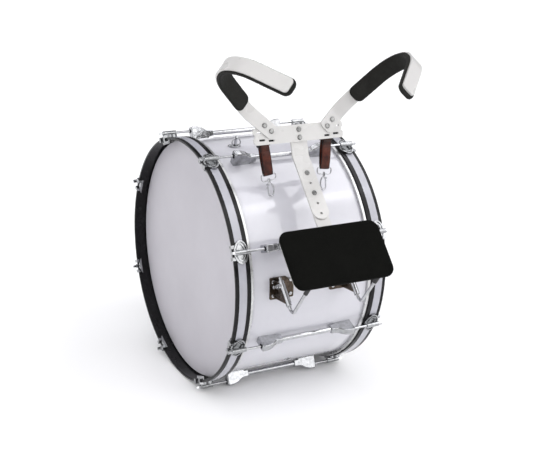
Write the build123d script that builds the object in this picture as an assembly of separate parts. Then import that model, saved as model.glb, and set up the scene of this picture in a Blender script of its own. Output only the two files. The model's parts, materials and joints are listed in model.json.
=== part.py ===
from build123d import *
import os
from math import asin, cos, degrees, radians, sin

# Marching bass drum with a worn-on shoulder carrier.  Millimetres and degrees.
#
# The drum is first drawn about its own centre: +X along the drum's axis, +Z up, and the player
# stands on the -Y side.  Angles round the shell are counted from the top towards the player.
# At the end everything is moved so that the origin lies on the floor under the object's centre.

# ---------------------------------------------------------------- driving dimensions: drum
shell_radius = 304.8            # a 24 inch drum
shell_half_depth = 177.8        # a 14 inch deep shell
shell_wall = 7.3                # wood plies and outer covering together
covering = 0.8
film = 0.5                      # drumhead thickness
head_collar = 15.0              # how far the drumhead's collar reaches down outside the shell
flesh_ring_depth = 8.0
flesh_ring_outer = 313.0
hoop_inner = 310.0
hoop_outer = 316.0
hoop_depth = 41.0
hoop_face = 209.5               # distance of a hoop's open face from the drum's middle
inlay_width = 20.0
inlay_end = 200.2               # the white band is nearer to the hoop's open face
inlay_depth = 0.6
lug_count = 8
lug_first_angle = 22.5
rod_radius = 3.0
rod_line = 328.0                # tension rods' distance from the drum's axis
rod_inner_end = 104.0
rod_head_start = 206.1
rod_head_end = 217.5
tube_line = 317.5               # lug tubes' distance from the drum's axis
tube_radius = 6.0
tube_bore = 4.2
tube_half_length = 79.9
post_inner = 70.0
post_outer = 131.0
post_top = 339.5
post_screws = (95.0, 121.0)
running_gap = 0.05              # radial clearance of parts that turn in one another
fastener_radius = 2.5
claw_half_span = 28.0
claw_half_depth = 18.0
claw_middle = hoop_face - 1.5 - claw_half_depth
claw_seat = hoop_outer + 0.05
finger_offset = 14.0
finger_width = 8.0
boss_radius = 6.0
post_socket_end = 80.0
nut_start = 107.0
nut_end = 121.0
nut_radius = 6.0
bracket_outline = [(-115, -6), (-51, -6), (-51, 30), (-72, 48), (-115, 48)]     # seen from the player
vent_x = 6.0
vent_angle = 139.3

# ---------------------------------------------------------------- driving dimensions: carrier
spine_lean = 44.5               # the spine's slope from the vertical, at rest on the floor
spine_face = 382.5              # distance of the spine's front face from the drum's axis
bar_thickness = 5.0
upper_spine_width = 44.0
lower_spine_width = 38.0
spine_kink = -70.0              # place of the bend, along the spine, downwards positive
upper_spine_end = 101.0
lower_spine_start = -32.0
lower_spine_end = 252.0
spine_hole_first = -22.0
spine_hole_pitch = 27.1
spine_hole_count = 5
spine_hole_radius = 3.3
chest_lean = 19.0
chest_centre = (0.0, -210.8, 371.1)     # on the crossbar's front face, level with its bolts' middle
chest_top = 20.0
chest_bottom = -21.0
chest_half_length = 122.0
chest_bolt_heights = (8.4, -11.2)
belly_top = 122.0
belly_bottom = 270.0
belly_half_width = 134.0
belly_corner = 25.0
plate_thickness = 3.0
foam_thickness = 10.0
belly_screws = [(-11.0, 150.0), (11.0, 150.0), (-11.0, 230.0), (11.0, 230.0)]
m6_head = (6.2, 3.2)            # a screw head's radius and height
small_head = (4.5, 2.6)
strap_slots = [(104.4, 9.0), (101.0, -9.8), (76.3, -12.5)]      # in the crossbar's plane
slot_size = (15.0, 4.6)

arm_width = 36.0
arm_angle = 42.3                # direction of an arm's straight foot in the crossbar's plane
arm_foot = (76.7, 9.5)          # lower arm bolt in the crossbar's plane
arm_bolt_spacing = 22.0
arm_tail = 9.5                  # the arm goes on this far below its lower bolt
arm_flat = 34.0
arm_set = {"left": -4.0, "right": 5.9}  # the two arms are bent forward by slightly different angles
arm_runs = [("straight", arm_flat), ("set", 60.0), ("straight", 1.6), ("bend", 30.0, 117.7),
            ("straight", 70.0), ("bend", 115.3, 104.4), ("straight", 86.5)]     # last number: radius
arm_pad_thickness = 9.0
arm_pad_width = 43.0
arm_pad_start = 99.0
arm_pad_overhang = 7.0

sleeve_x = 94.0
sleeve_line = 259.0             # the sleeves' distance from the drum's axis, parallel to the spine
sleeve_top = 193.0
sleeve_bottom = 258.0
sleeve_middle = (sleeve_top + sleeve_bottom) / 2
sleeve_radius = 7.0
clamp_offset = 20.0             # the clamp screw's height above the sleeve's middle
clamp_boss_radius = 6.0
carrier_rod_radius = 4.0
carrier_rod_top = 184.0
carrier_rod_bend = 281.0
carrier_rod_foot = 261.0

strap_pivot = (86.5, -193.0, 344.0)
strap_foot = (72.0, -218.0, 221.5)      # lowest point of the snap hook
strap_length = 70.0
strap_width = 25.0
leather = 2.5
strap_bulge = 7.0
pin_radius = 2.0
hanger_thickness = 1.6
ear_offset = 15.5
wire = 1.5
loop_width = 39.0
loop_height = 16.5
hook_half_width = 8.7
hook_half_height = 15.7
hook_wire = 1.9
hook_centre = 22.5
stem_radius = 1.5
boss_half = 2.6
opening_start = -42.0           # the snap hook's mouth, as angles round its oval
opening_end = 48.0

# ---------------------------------------------------------------- helpers
parts = {}


def keep(name, *solids):
    """Store a node as one compound of separate solids, given in the drum-centred frame."""
    loose = []
    for solid in solids:
        loose += list(solid.solids())
    parts[name] = loose


def around(angle):
    """Turn something drawn at the drum's top to an angle round the shell."""
    return Rot(X=angle)


def lug_angles():
    return [lug_first_angle + 360.0 / lug_count * i for i in range(lug_count)]


def along_x(radius, start, end, z=0.0):
    """A round bar along X between two values of x."""
    return Pos((start + end) / 2, 0, z) * Rot(Y=90) * Cylinder(radius, abs(end - start))


def ring_x(outer, inner, start, end):
    return along_x(outer, start, end) - along_x(inner, start - 1, end + 1)


def box_between(x, y, z):
    """A box from three pairs of limits."""
    size = [abs(pair[1] - pair[0]) for pair in (x, y, z)]
    middle = [(pair[0] + pair[1]) / 2 for pair in (x, y, z)]
    return Pos(*middle) * Box(*size)


def mirrored(shape):
    return mirror(shape, about=Plane.YZ)


def both_sides(shape):
    return [shape, mirrored(shape)]


def radial_bar(x, angle, radius, low, high):
    """A round bar standing on the shell, between two distances from the drum's axis."""
    return around(angle) * Pos(x, 0, (low + high) / 2) * Cylinder(radius, high - low)


def pan_head(radius, height):
    """A screw's domed head on the XY plane with a straight driver slot."""
    head = Cylinder(radius, height, align=(Align.CENTER, Align.CENTER, Align.MIN))
    head = fillet(head.edges().sort_by(Axis.Z)[-1], height * 0.6)
    return head - Pos(0, 0, height) * Box(radius * 2, radius * 0.3, height * 0.8)


def screw(radius, length, head_radius, head_height):
    """A pan-head screw: the head stands on the XY plane and the shank goes down."""
    shank = Pos(0, 0, -length / 2) * Cylinder(radius, length)
    return pan_head(head_radius, head_height) + shank


def hex_nut(radius, flats, height):
    """A nut whose upper face is on the XY plane."""
    body = Pos(0, 0, -height) * extrude(RegularPolygon(flats / 2, 6, major_radius=False), height)
    return body - Pos(0, 0, -height / 2) * Cylinder(radius, height * 2)


# ---------------------------------------------------------------- shell, covering, vent
shell_holes = []


def drill_shell(x, angle, radius=fastener_radius + 0.1):
    shell_holes.append(radial_bar(x, angle, radius, 285, 312))


for angle in lug_angles():
    for x in post_screws:
        drill_shell(x, angle)
        drill_shell(-x, angle)

bracket_screw_heights = (38.0, 4.0)
bracket_screw_places = []
for x in (107.0, 60.0):
    for height in bracket_screw_heights:
        angle = 90.0 - degrees(asin(height / shell_radius))
        bracket_screw_places += [(x, angle), (-x, angle)]

ring_plate_x = 87.0
ring_plate_angle = 8.0
ring_screw_offset = 11.0
ring_eye_forward = -7.0         # the ring's hole, from the middle of its plate towards the player
ring_eye_height = 329.9
ring_wire = 1.5
ring_radius = 11.5
ring_screw_places = []
for side in (1, -1):
    for offset in (ring_screw_offset, -ring_screw_offset):
        ring_screw_places.append((side * ring_plate_x + offset, ring_plate_angle))

for x, angle in bracket_screw_places + ring_screw_places:
    drill_shell(x, angle)
vent_radius = 7.0
drill_shell(vent_x, vent_angle, vent_radius + 0.1)

shell_inner = shell_radius - shell_wall
wood_outer = shell_radius - covering
plies = ring_x(wood_outer, shell_inner, -shell_half_depth, shell_half_depth)
keep("shell", plies - shell_holes)
covering_half = shell_half_depth - 1.5
wrap = ring_x(shell_radius, wood_outer, -covering_half, covering_half)
keep("shell_covering", wrap - shell_holes)

vent_collar = radial_bar(vent_x, vent_angle, vent_radius + 2.5, shell_radius + 0.05, shell_radius + 1.8)
vent_neck = radial_bar(vent_x, vent_angle, vent_radius, shell_inner - 2, shell_radius + 1)
vent_bore = radial_bar(vent_x, vent_angle, 4.5, shell_inner - 5, shell_radius + 5)
keep("vent_grommet", vent_collar + vent_neck - vent_bore)

# ---------------------------------------------------------------- heads, flesh hoops, counterhoops
collar_inner = shell_radius + 0.05
collar_outer = collar_inner + film
head_face = shell_half_depth + film


def drumhead():
    disc = along_x(collar_outer, shell_half_depth, head_face)
    collar = ring_x(collar_outer, collar_inner, head_face - head_collar, shell_half_depth + film / 2)
    rim = fillet((disc + collar).edges().sort_by(Axis.X)[-1], film * 0.8)
    return rim


head = drumhead()
keep("right_head", head)
keep("left_head", mirrored(head))

hoop_back = hoop_face - hoop_depth
flesh_ring = ring_x(flesh_ring_outer, collar_outer, hoop_back - flesh_ring_depth, hoop_back)
outer_edges = [e for e in flesh_ring.edges().filter_by(GeomType.CIRCLE) if e.radius > flesh_ring_outer - 1]
flesh_ring = fillet(outer_edges, 1.5)
keep("right_flesh_hoop", flesh_ring)
keep("left_flesh_hoop", mirrored(flesh_ring))

inlay_start = inlay_end - inlay_width
hoop = ring_x(hoop_outer, hoop_inner, hoop_back, hoop_face)
hoop = fillet(hoop.edges(), 1.2)
groove = ring_x(hoop_outer + 5, hoop_outer - inlay_depth, inlay_start, inlay_end)
hoop = hoop - groove
keep("right_counterhoop", hoop)
keep("left_counterhoop", mirrored(hoop))
inlay = ring_x(hoop_outer, hoop_outer - inlay_depth, inlay_start, inlay_end)
keep("hoop_inlays", *both_sides(inlay))

# ---------------------------------------------------------------- claws on the hoops
def claw_rib(half_depth, half_span, width, top):
    """One raised oval rib of a claw, standing on the hoop."""
    outer = Ellipse(half_depth, half_span)
    inner = Ellipse(half_depth - width, half_span - width)
    return Pos(claw_middle, 0, 300) * extrude(outer - inner, top - 300)


def claw():
    """A cast claw at the drum's top, on the right hoop."""
    web = Pos(claw_middle, 0, 300) * extrude(Ellipse(claw_half_depth - 1, claw_half_span - 1), 17.8)
    body = web + claw_rib(claw_half_depth, claw_half_span, 3.2, 321.5)
    body += claw_rib(claw_half_depth - 6, claw_half_span - 7, 3.0, 321.0)
    body += along_x(boss_radius, claw_middle - claw_half_depth, rod_head_start - 0.1, rod_line)
    stem_start = claw_middle - claw_half_depth + 1
    body += box_between((stem_start, rod_head_start - 0.1), (-4.5, 4.5), (310, rod_line))
    for side in (-1, 1):
        across = (side * finger_offset - finger_width / 2, side * finger_offset + finger_width / 2)
        body += box_between((hoop_face - 14, hoop_face + 3), across, (310, 319.5))
        body += box_between((hoop_face - 6, hoop_face + 3), across, (306.3, 316))
    seat = ring_x(claw_seat, hoop_inner - 0.6, hoop_back - 20, hoop_face + 0.05)
    under = along_x(claw_seat, 150, hoop_face - 8)
    body = body - seat - under
    return body - along_x(rod_radius + 0.4, 150, 230, rod_line)


right_claw = claw()
left_claw = mirrored(right_claw)
keep("right_claws", *[around(angle) * right_claw for angle in lug_angles()])
keep("left_claws", *[around(angle) * left_claw for angle in lug_angles()])

# ---------------------------------------------------------------- lugs: posts, tubes, nuts, rods
def post_profile():
    """The post's outline seen from the side, drawn with x across and the height upwards."""
    foot = shell_radius - 5
    points = [(post_outer, foot), (post_outer, post_top), (113, post_top - 1), (100, 334.5),
              (88, 326.5), (post_inner, tube_line + 8), (post_inner, tube_line - 8),
              (81, tube_line - 8), (89, foot)]
    face = make_face(Polyline(*points, close=True))
    soft = [v for v in face.vertices() if 80 < v.X < 115 and v.Y > 320]
    face = fillet(soft, 9)
    tip = [v for v in face.vertices() if v.X > 130 and v.Y > 320]
    return fillet(tip, 5)


def lug_post():
    """A cast post at the drum's top, right side: tall at its outer end, falling to the tube."""
    body = extrude(Plane.XZ * post_profile(), 14, both=True)
    plan = Polyline((post_inner - 1, -8), (post_outer + 1, -10), (post_outer + 1, 10),
                    (post_inner - 1, 8), close=True)
    body = body & (Pos(0, 0, 290) * extrude(make_face(plan), 60))
    top_edges = body.edges().filter_by(lambda e: e.center().Z > 322 and abs(e.center().Y) > 6)
    body = fillet(top_edges, 3)
    body = body - along_x(shell_radius + 0.05, 50, 150)
    body = body - along_x(tube_radius, 60, post_socket_end, tube_line)
    body = body - along_x(nut_radius + running_gap, rod_inner_end, 140, rod_line)
    for x in post_screws:
        body = body - radial_bar(x, 0, fastener_radius, 290, tube_line)
    return body


right_post = lug_post()
posts = []
for angle in lug_angles():
    posts += [around(angle) * shape for shape in both_sides(right_post)]
keep("lug_posts", *posts)

lug_tube = along_x(tube_radius, -tube_half_length, tube_half_length, tube_line)
lug_tube = lug_tube - along_x(tube_bore, -100, 100, tube_line)
keep("lug_tubes", *[around(angle) * lug_tube for angle in lug_angles()])

rod_nut = along_x(nut_radius, nut_start, nut_end, rod_line)
rod_nut = rod_nut - along_x(rod_radius + running_gap, 90, 140, rod_line)
nuts = []
for angle in lug_angles():
    nuts += [around(angle) * shape for shape in both_sides(rod_nut)]
keep("lug_nuts", *nuts)


def tension_rod():
    """A tension rod with its flange and square key head, at the drum's top on the right."""
    flange_end = rod_head_start + 2.2
    body = along_x(rod_radius, rod_inner_end + 1.5, rod_head_start + 1, rod_line)
    body += along_x(5.5, rod_head_start, flange_end, rod_line)
    body += along_x(3.6, flange_end - 0.5, flange_end + 2, rod_line)
    square = box_between((flange_end + 1, rod_head_end), (-3, 3), (rod_line - 3, rod_line + 3))
    return body + chamfer(square.edges().group_by(Axis.X)[-1], 0.6)


right_rod = tension_rod()
left_rod = mirrored(right_rod)
for number, angle in enumerate(lug_angles(), start=1):
    keep(f"right_tension_rod_{number}", around(angle) * right_rod)
    keep(f"left_tension_rod_{number}", around(angle) * left_rod)

# ---------------------------------------------------------------- strap rings on the shell
def ring_plate():
    """A strap ring's foot at the drum's top: a curved plate and an eye that leans to the player."""
    plate = Pos(0, 0, 300) * extrude(RectangleRounded(32, 15, 4), 6.9)
    stem = Polyline((-6, 300), (-11, 326), (-3.5, 333), (1, 316), (3, 300), close=True)
    eye = Pos(0, ring_eye_forward, ring_eye_height) * Rot(Y=90) * Cylinder(5, 3)
    body = plate + extrude(Plane.YZ * make_face(stem), 1.5, both=True) + eye
    body = body - along_x(shell_radius + 0.05, -40, 40)
    body = body - Pos(0, ring_eye_forward, ring_eye_height) * Rot(Y=90) * Cylinder(ring_wire + 1.1, 80)
    for offset in (ring_screw_offset, -ring_screw_offset):
        body = body - radial_bar(offset, 0, fastener_radius + 0.1, 290, 330)
    return body


plate = around(ring_plate_angle) * ring_plate()
keep("ring_plates", Pos(ring_plate_x, 0, 0) * plate, Pos(-ring_plate_x, 0, 0) * plate)
turn = radians(ring_plate_angle)
ring_y = ring_eye_forward * cos(turn) - ring_eye_height * sin(turn)
ring_z = ring_eye_forward * sin(turn) + ring_eye_height * cos(turn)
strap_ring = Pos(0, ring_y, ring_z - ring_radius) * Rot(X=90) * Torus(ring_radius, ring_wire)
keep("right_ring", Pos(ring_plate_x, 0, 0) * strap_ring)
keep("left_ring", Pos(-ring_plate_x, 0, 0) * strap_ring)

# ---------------------------------------------------------------- carrier's planes
lean = radians(spine_lean)
down_y, down_z = -sin(lean), -cos(lean)
out_y, out_z = -cos(lean), sin(lean)


def on_spine(down, out, x=0.0):
    """A point given by its place along the spine and its distance from the drum's axis."""
    return (x, down_y * down + out_y * out, down_z * down + out_z * out)


spine_plane = Plane(origin=(0, 0, 0), x_dir=(1, 0, 0), z_dir=(0, out_y, out_z))
tilt = radians(chest_lean)
chest_plane = Plane(origin=chest_centre, x_dir=(1, 0, 0), z_dir=(0, -cos(tilt), sin(tilt)))
chest_back = Plane(origin=chest_plane.from_local_coords(Vector(0, 0, -bar_thickness)),
                   x_dir=(1, 0, 0), z_dir=chest_plane.z_dir)


def spine_box(x, down, out):
    """A box given by limits across, along and out from the spine."""
    return spine_plane * box_between(x, (-down[1], -down[0]), out)


def spine_bar(x, down, radius, low, high):
    """A round bar square to the spine, from one distance to another."""
    return spine_plane * Pos(x, -down, (low + high) / 2) * Cylinder(radius, high - low)


# ---------------------------------------------------------------- rod brackets on the shell
plate_outer = shell_radius + 3.2


def rod_bracket():
    """The left bracket: a curved plate on the shell and a wedge that carries the sleeve."""
    outline = make_face(Polyline(*bracket_outline, close=True))
    outline = fillet(outline.vertices(), 3)
    slab = extrude(Plane((0, -280, 0), x_dir=(1, 0, 0), z_dir=(0, -1, 0)) * outline, 45)
    plate = slab & ring_x(plate_outer, shell_radius + 0.05, -130, -40)
    top = on_spine(sleeve_top + 4, sleeve_line)
    bottom = on_spine(sleeve_bottom - 8, sleeve_line)
    profile = [(-295, 43), (top[1], top[2]), (bottom[1], bottom[2]), (-295, -4)]
    wedge_face = make_face(Polyline(*profile, close=True))
    wedge = extrude(Plane.YZ * wedge_face, 8.5, both=True)
    body = plate + (Pos(-sleeve_x, 0, 0) * wedge - along_x(shell_radius + 0.05, -130, -40))
    for x, angle in bracket_screw_places:
        if x < 0:
            body = body - radial_bar(x, angle, fastener_radius + 0.1, 290, 330)
            body = body - radial_bar(x, angle, 5.2, plate_outer, 330)
    return body - sleeve_blank(-sleeve_x)


def sleeve_blank(x):
    """Room for the left or right sleeve, its clamp boss and the rod that leaves it."""
    side = -1 if x < 0 else 1
    local = Rot(X=90) * Cylinder(sleeve_radius, sleeve_bottom - sleeve_top)
    local = local + Rot(X=90) * Cylinder(carrier_rod_radius + 1, 200)
    local = local + Pos(side * 12, clamp_offset, 0) * Rot(Y=90) * Cylinder(clamp_boss_radius, 24)
    return spine_plane * Pos(x, -sleeve_middle, sleeve_line) * local


def sleeve(x):
    """The bright tube that the carrier's rod slides in, with the boss of its clamp screw."""
    side = -1 if x < 0 else 1
    boss_place = Pos(side * (sleeve_radius + 2), clamp_offset, 0) * Rot(Y=90)
    local = Rot(X=90) * Cylinder(sleeve_radius, sleeve_bottom - sleeve_top)
    local = local + boss_place * Cylinder(clamp_boss_radius, 7)
    local = local - Rot(X=90) * Cylinder(carrier_rod_radius + running_gap, 200)
    local = local - boss_place * Cylinder(fastener_radius + 0.55, 12)
    return spine_plane * Pos(x, -sleeve_middle, sleeve_line) * local


left_bracket = rod_bracket()
left_sleeve = sleeve(-sleeve_x)
keep("rod_brackets", *both_sides(left_bracket))
keep("rod_sleeves", *both_sides(left_sleeve))


def clamp_screw():
    """The left sleeve's square-headed clamp screw, its tip just short of the rod."""
    shank = along_x(fastener_radius + 0.5, -25, -carrier_rod_radius - 0.15)
    collar = along_x(5.0, -16.5, -14.6)
    square = box_between((-25, -16), (-3.2, 3.2), (-3.2, 3.2))
    shape = shank + collar + chamfer(square.edges().group_by(Axis.X)[0], 0.6)
    return spine_plane * Pos(-sleeve_x, clamp_offset - sleeve_middle, sleeve_line) * shape


keep("clamp_screws", *both_sides(clamp_screw()))

# ---------------------------------------------------------------- fasteners through the shell
shell_fasteners = []
inside = shell_inner - 0.1
for angle in lug_angles():
    for x in post_screws:
        bolt = Rot(X=180) * screw(fastener_radius - 0.05, 19, 4.5, 3)
        for signed_x in (x, -x):
            shell_fasteners.append(around(angle) * Pos(signed_x, 0, inside) * bolt)
outer_nut = hex_nut(fastener_radius, 8, 4)
for x, angle in bracket_screw_places:
    bolt = screw(fastener_radius - 0.05, 17, 4.5, 3)
    shell_fasteners.append(around(angle) * Pos(x, 0, plate_outer + 0.1) * bolt)
    shell_fasteners.append(around(angle) * Pos(x, 0, inside) * outer_nut)
for x, angle in ring_screw_places:
    bolt = screw(fastener_radius - 0.05, 16, 4.0, 2.6)
    shell_fasteners.append(around(angle) * Pos(x, 0, shell_radius + 2.2) * bolt)
    shell_fasteners.append(around(angle) * Pos(x, 0, inside) * outer_nut)
keep("shell_fasteners", *shell_fasteners)

# ---------------------------------------------------------------- spine and crossbar
spine_holes = [spine_hole_first + spine_hole_pitch * i for i in range(spine_hole_count)]
lower_face = spine_face - bar_thickness
lower_back = lower_face - bar_thickness


def rounded_end(half_width, down, low, high):
    return spine_bar(0, down, half_width, low, high)


def upper_spine():
    """The upper bar: flat against the crossbar at its top, then bent down the spine's slope."""
    half = upper_spine_width / 2
    straight_end = upper_spine_end - half
    low = lower_face
    back = tuple(chest_plane.from_local_coords(Vector(0, chest_top - 1, -2 * bar_thickness)))
    front = tuple(chest_plane.from_local_coords(Vector(0, chest_top - 1, -bar_thickness)))
    kink_front = on_spine(spine_kink, spine_face)
    kink_back = on_spine(spine_kink - 0.6, low)
    end_front = on_spine(straight_end, spine_face)
    end_back = on_spine(straight_end, low)
    outline = [front, kink_front, end_front, end_back, kink_back, back]
    side_view = Polyline(*[point[1:] for point in outline], close=True)
    bar = extrude(Plane.YZ * make_face(side_view), half, both=True)
    bar = bar + rounded_end(half, straight_end, low, spine_face)
    for hole in spine_holes:
        bar = bar - spine_bar(0, hole, spine_hole_radius, low - 5, spine_face + 5)
    return bar


def chest_bar(x, y, radius, low, high):
    return chest_plane * Pos(x, y, (low + high) / 2) * Cylinder(radius, high - low)


spine_top_bar = upper_spine()
for height in chest_bolt_heights:
    spine_top_bar = spine_top_bar - chest_bar(0, height, spine_hole_radius, -20, 5)
keep("upper_spine", spine_top_bar)


def lower_spine():
    half = lower_spine_width / 2
    start = lower_spine_start + half
    end = lower_spine_end - half
    bar = spine_box((-half, half), (start, end), (lower_back, lower_face))
    bar = bar + rounded_end(half, start, lower_back, lower_face)
    bar = bar + rounded_end(half, end, lower_back, lower_face)
    for hole in spine_holes:
        bar = bar - spine_bar(0, hole, spine_hole_radius, lower_back - 5, lower_face + 5)
    for place in belly_screws:
        bar = bar - spine_bar(place[0], place[1], fastener_radius + 0.1, lower_back - 5, lower_face + 5)
    return bar


keep("lower_spine", lower_spine())

bolt_step = (arm_bolt_spacing * cos(radians(arm_angle)), arm_bolt_spacing * sin(radians(arm_angle)))
arm_bolts = [arm_foot, (arm_foot[0] + bolt_step[0], arm_foot[1] + bolt_step[1])]


def crossbar():
    """The chest bar: notched ends, strap slots and a raised ear behind the foot of each arm."""
    tall = chest_top - chest_bottom
    outline = Pos(0, (chest_top + chest_bottom) / 2) * Rectangle(2 * chest_half_length, tall)
    outline = fillet(outline.vertices(), 8)
    for side in (1, -1):
        outline = outline - Pos(side * (chest_half_length + 3), 0) * Circle(7)
        ear_place = Pos(side * arm_bolts[0][0], arm_bolts[0][1]) * Rot(Z=90 - side * (90 - arm_angle))
        outline = outline + ear_place * Pos(2.5, 0) * SlotOverall(53, 28)
    for side in (1, -1):
        for x, y in strap_slots:
            outline = outline - Pos(side * x, y) * Rectangle(*slot_size)
        for x, y in arm_bolts:
            outline = outline - Pos(side * x, y) * Circle(spine_hole_radius)
    for height in chest_bolt_heights:
        outline = outline - Pos(0, height) * Circle(spine_hole_radius)
    return chest_back * extrude(outline, bar_thickness)


keep("crossbar", crossbar())

# ---------------------------------------------------------------- belly plate and pad
belly_middle = (belly_top + belly_bottom) / 2
belly_height = belly_bottom - belly_top
pad_front = lower_face + plate_thickness + foam_thickness


def belly_slab(margin, low, high):
    outline = RectangleRounded(2 * (belly_half_width - margin), belly_height - 2 * margin,
                               belly_corner - margin)
    return spine_plane * Pos(0, -belly_middle, low) * extrude(outline, high - low)


belly_plate = belly_slab(2, lower_face, lower_face + plate_thickness)
for x, down in belly_screws:
    belly_plate = belly_plate - spine_bar(x, down, fastener_radius + 0.1, 300, 400)
for x in (sleeve_x, -sleeve_x):
    belly_plate = belly_plate - spine_bar(x, carrier_rod_foot, fastener_radius + 0.6, 300, 400)
keep("belly_plate", belly_plate)

foam = belly_slab(0, lower_face + plate_thickness, pad_front)
front_edges = foam.edges().filter_by(lambda e: spine_plane.to_local_coords(e.center()).Z > pad_front - 0.1)
foam = fillet(front_edges, 3)
pocket_top = lower_face + plate_thickness + small_head[1] + 0.4
for x, down in belly_screws + [(sleeve_x, carrier_rod_foot), (-sleeve_x, carrier_rod_foot)]:
    foam = foam - spine_bar(x, down, 5.2, lower_face, pocket_top)
keep("belly_pad", foam)

# ---------------------------------------------------------------- carrier rods and their bushes
bush_low = lower_face - 27.0


def carrier_rod(x):
    """A bent rod: up the sleeve, round the bend, and out to the belly plate."""
    top = on_spine(carrier_rod_top, sleeve_line, x)
    bend = on_spine(carrier_rod_bend, sleeve_line, x)
    foot = on_spine(carrier_rod_foot, lower_face, x)
    path = FilletPolyline(top, bend, foot, radius=14)
    section = Plane(origin=top, z_dir=(0, down_y, down_z)) * Circle(carrier_rod_radius)
    rod = sweep(section, path=path)
    rod = rod & spine_box((x - 20, x + 20), (100, 400), (100, lower_face))
    return rod - spine_bar(x, carrier_rod_foot, fastener_radius, lower_face - 7, lower_face + 1)


def rod_bush(x):
    """The black sleeve over the rod where it meets the belly plate."""
    foot = Vector(*on_spine(carrier_rod_foot, lower_face, x))
    bend = Vector(*on_spine(carrier_rod_bend, sleeve_line, x))
    direction = (bend - foot).normalized()
    frame = Plane(origin=foot, z_dir=direction)
    body = frame * Pos(0, 0, 11) * Cylinder(5.6, 32)
    body = body & spine_box((x - 20, x + 20), (100, 400), (100, lower_face))
    return body - frame * Pos(0, 0, 20) * Cylinder(carrier_rod_radius, 90)


rods = [carrier_rod(sleeve_x), carrier_rod(-sleeve_x)]
keep("carrier_rods", *rods)
keep("rod_bushes", rod_bush(sleeve_x), rod_bush(-sleeve_x))

# ---------------------------------------------------------------- arms and their pads
def arm_path(set_angle):
    """The arm's middle line in its own plane: pieces as (kind, start, heading, size, radius)."""
    place = (0.0, 0.0)
    heading = 0.0
    pieces = []
    for run in arm_runs:
        if run[0] == "set":
            run = ("bend", set_angle, run[1])
        if run[0] == "straight":
            pieces.append(("straight", place, heading, run[1], 0.0))
            place = (place[0] + run[1] * cos(heading), place[1] + run[1] * sin(heading))
        else:
            angle, radius = radians(run[1]), run[2]
            turn = 1 if angle > 0 else -1
            centre = (place[0] - turn * radius * sin(heading), place[1] + turn * radius * cos(heading))
            pieces.append(("bend", place, heading, angle, radius))
            heading += angle
            place = (centre[0] + turn * radius * sin(heading), centre[1] - turn * radius * cos(heading))
    return pieces


def piece_length(piece):
    return piece[3] if piece[0] == "straight" else abs(piece[3]) * piece[4]


def piece_point(piece, fraction, offset):
    """A point beside the middle line; offset is towards the wearer's shoulder."""
    kind, start, heading, size, radius = piece
    if kind == "straight":
        x = start[0] + size * fraction * cos(heading)
        y = start[1] + size * fraction * sin(heading)
        here = heading
    else:
        turn = 1 if size > 0 else -1
        here = heading + size * fraction
        x = start[0] + turn * radius * (sin(here) - sin(heading))
        y = start[1] - turn * radius * (cos(here) - cos(heading))
    return (x - offset * sin(here), y + offset * cos(here))


def strip_outline(pieces, start, end, low, high):
    """The closed side view of a strip that follows the path from one length to another."""
    upper, lower = [], []
    travelled = 0.0
    for piece in pieces:
        length = piece_length(piece)
        first = max(start - travelled, 0.0) / length
        last = min(end - travelled, length) / length
        travelled += length
        if last <= first + 1e-6:
            continue
        for edges, offset in ((upper, high), (lower, low)):
            a = piece_point(piece, first, offset)
            m = piece_point(piece, (first + last) / 2, offset)
            b = piece_point(piece, last, offset)
            edges.append(Line(a, b) if piece[0] == "straight" else ThreePointArc(a, m, b))
    start_cap = Line(lower[0] @ 0, upper[0] @ 0)
    end_cap = Line(upper[-1] @ 1, lower[-1] @ 1)
    return make_face(upper + lower + [start_cap, end_cap])


def arm_frame():
    """The right arm's plane: x along its foot, y towards the player, through the lower bolt."""
    along = radians(arm_angle)
    origin = chest_back.from_local_coords(Vector(*arm_foot, 1.5 * bar_thickness))
    x_dir = chest_back.x_dir * cos(along) + chest_back.y_dir * sin(along)
    return Plane(origin=origin, x_dir=x_dir, z_dir=x_dir.cross(chest_back.z_dir))


arm_plane = arm_frame()
half_bar = bar_thickness / 2


def shoulder_arm(set_angle):
    """A right-hand arm: a flat bar bent over the shoulder."""
    pieces = arm_path(set_angle)
    total = sum(piece_length(piece) for piece in pieces)
    outline = strip_outline(pieces, 0.0, total, -half_bar, half_bar)
    tail = make_face(Polyline((-arm_tail, -half_bar), (1, -half_bar), (1, half_bar),
                              (-arm_tail, half_bar), close=True))
    body = extrude(arm_plane * (outline + tail), arm_width / 2, both=True)
    corners = body.edges().filter_by(lambda e: abs(e.length - bar_thickness) < 0.01)
    corners = [e for e in corners if abs(arm_plane.to_local_coords(e.center()).Z) > arm_width / 2 - 1]
    body = fillet(corners, 9)
    for x, y in arm_bolts:
        body = body - chest_back * Pos(x, y, 0) * Cylinder(spine_hole_radius, 60)
    return body


def arm_pad(set_angle):
    """The foam pad on the inside of the arm, a little wider and longer than the bar."""
    pieces = arm_path(set_angle)
    total = sum(piece_length(piece) for piece in pieces)
    last = pieces[-1]
    pieces[-1] = (last[0], last[1], last[2], last[3] + arm_pad_overhang, last[4])
    low = half_bar + 0.05
    outline = strip_outline(pieces, arm_pad_start, total + arm_pad_overhang, low,
                            low + arm_pad_thickness)
    body = extrude(arm_plane * outline, arm_pad_width / 2, both=True)
    corners = body.edges().filter_by(lambda e: abs(e.length - arm_pad_thickness) < 0.01)
    return fillet(corners, 15)


for name, move in (("right", lambda shape: shape), ("left", mirrored)):
    keep(f"{name}_arm", move(shoulder_arm(arm_set[name])))
    keep(f"{name}_arm_pad", move(arm_pad(arm_set[name])))

# ---------------------------------------------------------------- carrier's fasteners
carrier_screws, carrier_nuts = [], []


def carrier_fastener(place, grip):
    """A pan-head screw from the front and a nut behind; place is the plane under the head."""
    carrier_screws.append(place * screw(3.0, grip + 7.5, *m6_head))
    carrier_nuts.append(place * Pos(0, 0, -grip) * hex_nut(3.05, 10, 5))


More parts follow.
